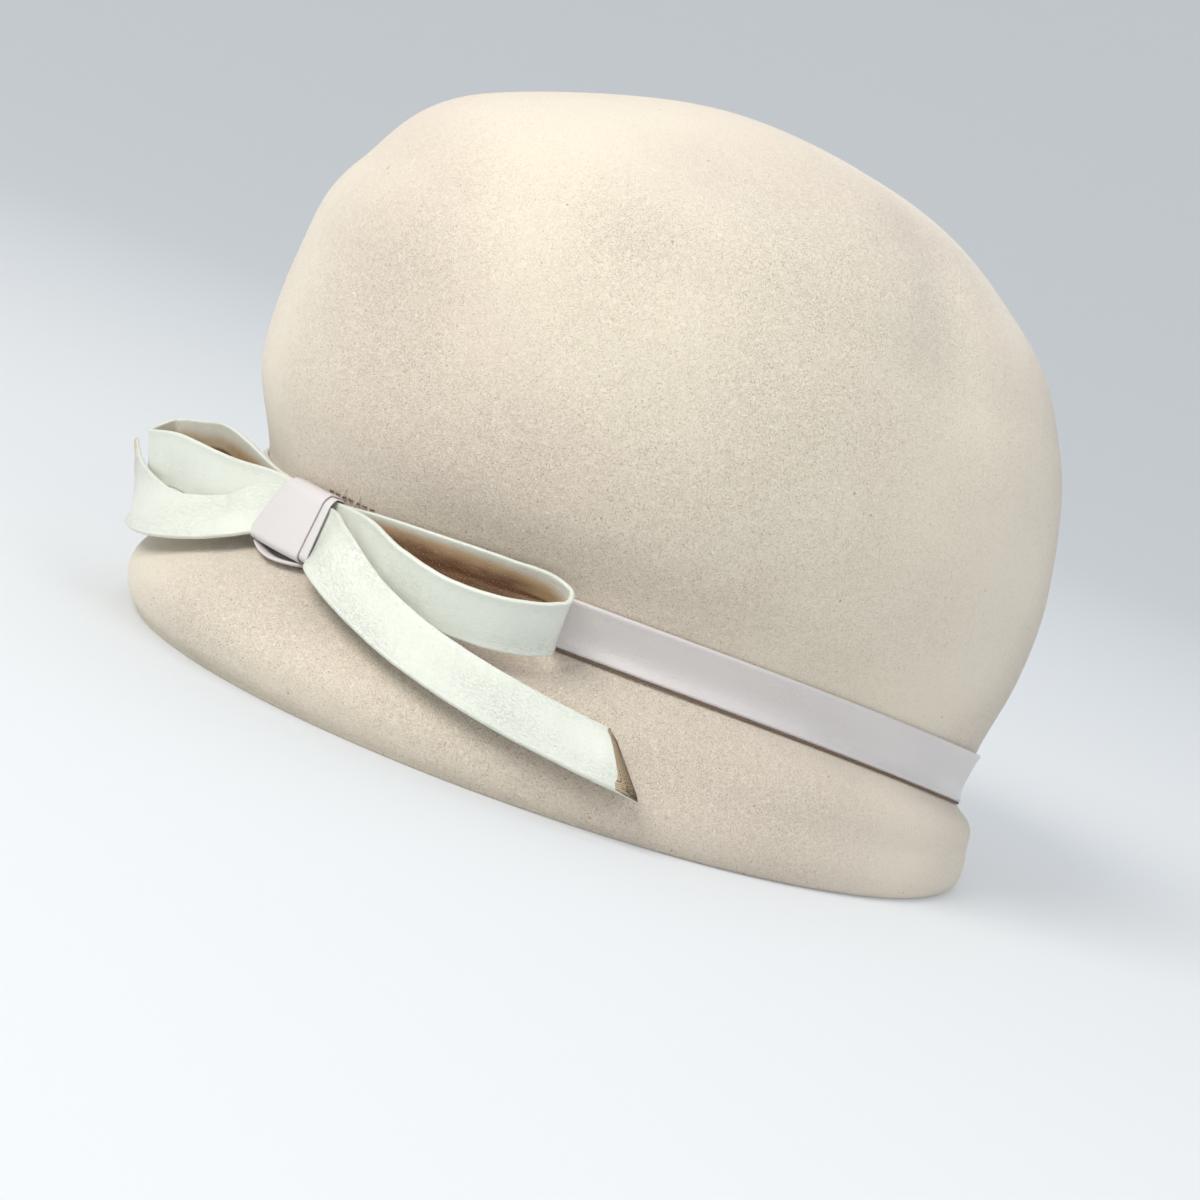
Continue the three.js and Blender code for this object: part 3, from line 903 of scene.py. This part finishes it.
class HAT_OT_loops(bpy.types.Operator):
    """Strip that makes both loops of the bow"""

    bl_idname = "hat.loops"
    bl_label = "Loops"

    def execute(self, context):
        """The folded strip's outline carried along the loops' route.

        The face towards a loop's inside is stained and carries painted shade: the stain follows
        the route's rows along the strip, strongest near the knot deep inside the loops, fades
        towards its edges and is lightest at the top edge, where light falls. A groove down that
        face is the seam where the folded edges meet.
        """
        hat, bow = context.scene.hat_shape, context.scene.bow_shape
        curve = route_curve(hat, bow, LOOP_ROUTE, bow.loop_length)
        steps, points_across = 420, 31
        place, uv, across, through = swept_strip(curve, bow, steps, points_across)
        way = uv[..., 0]
        inside = np.clip(-through * 3, 0, 1) * np.clip((1 - np.abs(across)) * 14, 0, 1)
        # deeper holds painted shade: darker down the face, away from the lit top edge where light
        # falls.
        lit_top_edge, fades_over, least = 0.98, 0.66, 0.1
        deeper = np.clip((lit_top_edge - across) / fades_over, least, 1)
        stain = np.interp(way, curve[0], LOOP_ROUTE[:, 5]) * inside * deeper
        seam = np.exp(-((across * bow.width / 2 / bow.seam_width) ** 2)) * (through < 0)
        stain = np.clip(stain + 0.9 * seam, 0, 1)
        place = place + bow.seam_depth * seam[:, None] * route_frames(curve, way)[2]
        body, caps = strip_faces(steps, points_across)
        colours = context.scene.hat_colours
        look = coated_look("loop_coating", tuple(colours.mint), colours, 1.0, 0.26)
        points = place.reshape(-1, 3) + middle_shift(hat)
        made = piece("coated_loops", points, [body, *caps], [look], uv.reshape(-1, 2), stain)
        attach(made, "root")
        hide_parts("bow_loops")
        return {"FINISHED"}


class HAT_OT_tails(bpy.types.Operator):
    """Strip across the front of the loops, whose two ends are the tails"""

    bl_idname = "hat.tails"
    bl_label = "Tails"

    def execute(self, context):
        """The folded strip's outline carried along the tails' route.

        Its longer tail ends in a slanted cut whose two plies part a little, and the woven backing
        closes the mouth between them.
        """
        hat, bow = context.scene.hat_shape, context.scene.bow_shape
        curve = route_curve(hat, bow, TAIL_ROUTE, bow.tail_length)
        steps, points_across = 360, 31
        cuts = (bow.tail_cut, bow.tail_mouth, bow.tip_cut)
        place, uv, _, through = swept_strip(curve, bow, steps, points_across, *cuts)
        body, caps = strip_faces(steps, points_across)
        colours = context.scene.hat_colours
        look = coated_look("tail_coating", tuple(colours.mint), colours, 1.2, 0.24)
        points = place.reshape(-1, 3) + middle_shift(hat)
        way = uv[..., 0]
        stained_over, yellowed = 0.02, 0.35
        from_far_end = np.clip(1 - (way.max() - way) / stained_over, 0, 1)
        stain = yellowed * from_far_end * (through < 0)
        made = piece(
            "coated_tails",
            points,
            [body, *caps],
            [look, backing_look(colours)],
            uv.reshape(-1, 2),
            stain,
            slots=(0, 1, 1, 0, 0),
        )
        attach(made, "root")
        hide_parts("bow_tails")
        return {"FINISHED"}


def wrap_turn(hat, bow, inset, right, left, fullness):
    """One turn of the wrap round the bow's layers, as rows along the hat by points round them.

    Round the layers it follows straight lines between the corners, and each point is then the
    weighted mean of itself and its neighbours, which rounds the corners. The foot is deeper than
    the top by the flare, and the turn is narrower at its top by the taper. A pillow of the given
    fullness swells the middle.
    """
    rows, around, rounding = 41, 96, 0.75
    deep = layer_places(bow)[TAIL, 0] + bow.thick / 2 + 2 * bow.clear + bow.wrap_thick
    half_height = bow.width / 2 + bow.knot_slip + bow.clear + bow.wrap_thick
    corners = np.concatenate([KNOT_CORNERS, KNOT_CORNERS[:1]])
    lengths = np.linalg.norm(np.diff(corners * [deep, half_height], axis=0), axis=1)
    ways = np.concatenate([[0], np.cumsum(lengths)])
    turn = np.linspace(0, ways[-1], around, endpoint=False)
    outline = np.stack([np.interp(turn, ways, column) for column in corners.T])
    for _ in range(3):
        neighbours = np.roll(outline, 1, axis=1) + np.roll(outline, -1, axis=1)
        outline = (outline + rounding * neighbours) / (1 + 2 * rounding)
    through, across = outline
    side = np.linspace(right, left, rows)[:, None]
    pillow = fullness * np.cos(math.pi * np.clip(side, -0.5, 0.5)) * np.cos(across * 1.3)
    depth = inset + through * (deep - 2 * inset) - through * across * bow.knot_flare / 2
    depth = depth + pillow * (through - 0.5) * 2 * (through > 0.5)
    along = side * bow.wrap_width * (1 - bow.wrap_taper * across)
    along = along + bow.wrap_skew * (across + 0.3)
    height = np.broadcast_to(across * (half_height - inset), along.shape)
    place, _ = bow_place(hat, bow, bow.turn + along / waist_radius(hat), depth, height)
    return place, np.stack(np.broadcast_arrays(turn, along), axis=-1)


class HAT_OT_knot(bpy.types.Operator):
    """Wrap round the middle of the bow, its under turn and its loose foot"""

    bl_idname = "hat.knot"
    bl_label = "Knot"

    def execute(self, context):
        """The outer and inner grids of each turn joined at both sides into a closed wall."""
        hat, bow = context.scene.hat_shape, context.scene.bow_shape
        colours = context.scene.hat_colours
        look = coated_look("wrap_coating", tuple(colours.wrap), colours, 0.25, 0.36)
        shift = middle_shift(hat)

        rim = 0.3
        for name, inset_share, thick_share, right, left, fullness in KNOT_TURNS:
            inset = bow.wrap_thick * inset_share
            thick = bow.wrap_thick * thick_share
            outer, uv = wrap_turn(hat, bow, inset, right, left, fullness)
            inner, _ = wrap_turn(hat, bow, inset + thick, right, left, fullness)
            ends = ((outer + inner) / 2 * (1 - rim) + outer * rim)[[0, -1]]
            rows = np.concatenate([ends[:1], outer[1:-1], ends[1:], inner[-2:0:-1]])
            uv = np.concatenate([uv, uv[-2:0:-1]]).reshape(-1, 2)
            points = rows.reshape(-1, 3) + shift
            faces = grid_faces(len(rows), rows.shape[1], close_rows=True)
            made = piece(name, points, [faces], [look], uv, np.zeros(len(points)))
            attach(made, "root")
        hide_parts("bow_knot")

        # The loose foot of the wrap hangs under the knot as a shallow arc.
        half_share, sides = 0.46, 12
        sag, half_deep, half_thick, gap = 0.0014, 0.0018, 0.0005, 0.0002
        side = np.linspace(half_share, -half_share, 60)
        bend = np.cos(side * math.pi / (2 * half_share))
        depth = layer_places(bow)[TAIL, 0] + half_deep - sag * (1 - bend)
        bottom = bow.width / 2 + bow.knot_slip + bow.clear + bow.wrap_thick
        along = side * bow.wrap_width * (1 + bow.wrap_taper)
        angle = bow.turn + along / waist_radius(hat)
        place, away = bow_place(hat, bow, angle, depth, -bottom - gap - sag * bend)
        rings = tube(place - 0.6 * half_deep * away, away, UPWARD, half_deep, half_thick, sides)
        points = np.concatenate([rings.reshape(-1, 3), rings[[0, -1]].mean(axis=1)]) + shift
        last = len(rings) * sides
        faces = [
            grid_faces(len(rings), sides),
            fan_faces(last, np.arange(sides), False),
            fan_faces(last + 1, np.arange(last - sides, last), True),
        ]
        uv = np.zeros((len(points), 2))
        foot = piece("knot_foot", points, faces, [look], uv, np.zeros(len(points)))
        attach(foot, "root")
        return {"FINISHED"}


class HAT_OT_stitches(bpy.types.Operator):
    """Sewing along the band's top at the knot, and the tacks that hold it"""

    bl_idname = "hat.stitches"
    bl_label = "Stitches"

    def execute(self, context):
        """Each stitch is a thin tube over an arc that rises from the surface and returns."""
        hat, bow = context.scene.hat_shape, context.scene.bow_shape
        colours = context.scene.hat_colours
        sides, millimetre, profile_length = 6, 0.001, 0.16
        least_lift, rise, slack, blunt = 0.0001, 0.0003, 0.3, 0.06
        share = np.linspace(0, 1, 9)
        points, faces = [], []
        first = 0
        for away_by, along, round_mm, up_mm in DARK_STITCHES + PALE_TACKS:
            sideways = (share - 0.5) * round_mm * millimetre / waist_radius(hat)
            angle = bow.turn + math.radians(away_by) + sideways
            height = along + (share - 0.5) * up_mm * millimetre / profile_length
            arc = np.sin(math.pi * share)
            lift = least_lift + (rise + slack * abs(up_mm) * millimetre) * arc
            middle = felt_point(hat, height, angle, lift)
            away = outward(hat, along, angle)
            side = unit(np.cross(unit(np.gradient(middle, axis=0)), away))
            thin = bow.thread * np.sin(math.pi * np.clip(share, blunt, 1 - blunt)) ** 0.3
            rings = tube(middle, away, side, thin, thin, sides)
            points.append(np.concatenate([rings.reshape(-1, 3), middle[[0, -1]]]))
            last = first + len(share) * sides
            faces += [
                grid_faces(len(share), sides) + first,
                fan_faces(last, first + np.arange(sides), False),
                fan_faces(last + 1, last - sides + np.arange(sides), True),
            ]
            first = last + 2
        looks = [
            thread_look("dark_thread", tuple(colours.dark)),
            thread_look("pale_thread", tuple(colours.thread)),
        ]
        slots = [0] * 3 * len(DARK_STITCHES) + [1] * 3 * len(PALE_TACKS)
        points = np.concatenate(points) + middle_shift(hat)
        made = piece("band_stitches", points, faces, looks, slots=slots)
        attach(made, "root")
        return {"FINISHED"}


def direction(azimuth, elevation):
    """Direction from the hat: radians round from its front and radians up."""
    level = math.cos(elevation)
    return Vector((math.sin(azimuth) * level, -math.cos(azimuth) * level, math.sin(elevation)))


def look_at(position, aim, roll):
    """Matrix of a camera or a light at a position that looks at a point, turned by a roll."""
    back = (position - aim).normalized()
    right = Vector((0, 0, 1)).cross(back).normalized()
    up = back.cross(right)
    rolled = math.cos(roll) * right + math.sin(roll) * up
    upright = -math.sin(roll) * right + math.cos(roll) * up
    matrix = Matrix((rolled, upright, back)).transposed().to_4x4()
    matrix.translation = position
    return matrix


class HAT_OT_stage(bpy.types.Operator):
    """Camera, soft lights and a pale floor that curves up into the backdrop"""

    bl_idname = "hat.stage"
    bl_label = "Stage"

    def execute(self, context):
        """The floor is a disc, flat in the middle, whose rim rises as a quarter circle."""
        scene = context.scene
        shift = float(middle_shift(scene.hat_shape)[1])
        azimuth = math.radians(VIEW_AZIMUTH)
        towards = direction(azimuth, math.radians(VIEW_ELEVATION))
        right = Vector((math.cos(azimuth), math.sin(azimuth), 0))
        up = towards.cross(right)
        centre = Vector((0, shift, VIEW_HEIGHT))
        camera = bpy.data.cameras.new("view")
        camera.lens, camera.sensor_width = VIEW_LENS, 36
        camera.clip_start, camera.clip_end = 0.01, 50
        viewer = bpy.data.objects.new("view", camera)
        viewer.matrix_world = look_at(
            centre + VIEW_DISTANCE * towards,
            centre + VIEW_RIGHT * right + VIEW_UP * up,
            math.radians(VIEW_ROLL),
        )
        scene.collection.objects.link(viewer)
        scene.camera = viewer

        flat, curved, innermost, rows = 1.6, 2.4, 0.02, 40
        turn = np.linspace(0, math.pi / 2, rows)[1:]
        radius = np.concatenate([np.linspace(innermost, flat, rows), flat + curved * np.sin(turn)])
        rise = np.concatenate([np.zeros(rows), curved * (1 - np.cos(turn))])
        angle = np.linspace(0, 2 * math.pi, 160, endpoint=False)
        radius, rise, angle_grid = np.broadcast_arrays(radius[:, None], rise[:, None], angle)
        circles = [radius * np.cos(angle_grid), radius * np.sin(angle_grid), rise]
        points = np.concatenate([np.stack(circles, axis=-1).reshape(-1, 3), np.zeros((1, 3))])
        faces = [
            grid_faces(len(radius), len(angle))[:, ::-1],
            fan_faces(len(points) - 1, np.arange(len(angle)), True),
        ]
        floor = piece("stage_floor", points, faces, [stage_look(scene.hat_colours)])

        # Columns: name, degrees round from the view, degrees up, metres away, size, watts, tint
        lights = (
            ("key", -44, 40, 1.5, 0.8, 15, (1.0, 0.96, 0.91)),
            ("fill", 40, 26, 1.7, 1.3, 4.5, (0.97, 0.97, 1.0)),
            ("top", 150, 66, 1.6, 1.2, 4, (0.97, 0.98, 1.0)),
        )
        for name, turned, raised, far, size, watts, tint in lights:
            lamp = bpy.data.lights.new(name, "AREA")
            lamp.shape, lamp.size, lamp.energy, lamp.color = "DISK", size, watts, tint
            outward_to = direction(azimuth + math.radians(turned), math.radians(raised))
            lit = bpy.data.objects.new(name, lamp)
            lit.matrix_world = look_at(centre + far * outward_to, centre, 0)
            scene.collection.objects.link(lit)
        world = bpy.data.worlds.new("soft_room")
        world.use_nodes = True
        room = world.node_tree.nodes["Background"]
        room.inputs["Color"].default_value = (0.93, 0.96, 1.0, 1)
        room.inputs["Strength"].default_value = 0.7
        scene.world = world
        scene.view_settings.view_transform = "Standard"
        return {"FINISHED"}


OPERATORS = (
    HAT_OT_stage,
    HAT_OT_felt,
    HAT_OT_band,
    HAT_OT_loops,
    HAT_OT_tails,
    HAT_OT_knot,
    HAT_OT_stitches,
)


class HAT_PT_panel(bpy.types.Panel):
    """The hat's sizes, colours and pieces"""

    bl_idname = "HAT_PT_panel"
    bl_label = "Cloche hat"
    bl_space_type = "VIEW_3D"
    bl_region_type = "UI"
    bl_category = "Hat"

    def draw(self, context):
        """A row for each size and colour, then a button for each piece."""
        for group in (context.scene.hat_shape, context.scene.bow_shape, context.scene.hat_colours):
            for name in group.__annotations__:
                self.layout.prop(group, name)
        for operator in OPERATORS:
            self.layout.operator(operator.bl_idname)


GROUPS = {"hat_shape": HatShape, "bow_shape": BowShape, "hat_colours": HatColours}


def register():
    """Adds the sizes, the operators and the panel to Blender."""
    for cls in (*GROUPS.values(), *OPERATORS, HAT_PT_panel):
        bpy.utils.register_class(cls)
    for name, group in GROUPS.items():
        setattr(bpy.types.Scene, name, PointerProperty(type=group))


def unregister():
    """Takes them away again."""
    for name in GROUPS:
        delattr(bpy.types.Scene, name)
    for cls in reversed((*GROUPS.values(), *OPERATORS, HAT_PT_panel)):
        bpy.utils.unregister_class(cls)


def main():
    register()
    bpy.ops.hat.stage()
    bpy.ops.hat.felt()
    bpy.ops.hat.band()
    bpy.ops.hat.loops()
    bpy.ops.hat.tails()
    bpy.ops.hat.knot()
    bpy.ops.hat.stitches()


if __name__ == "__main__":
    main()
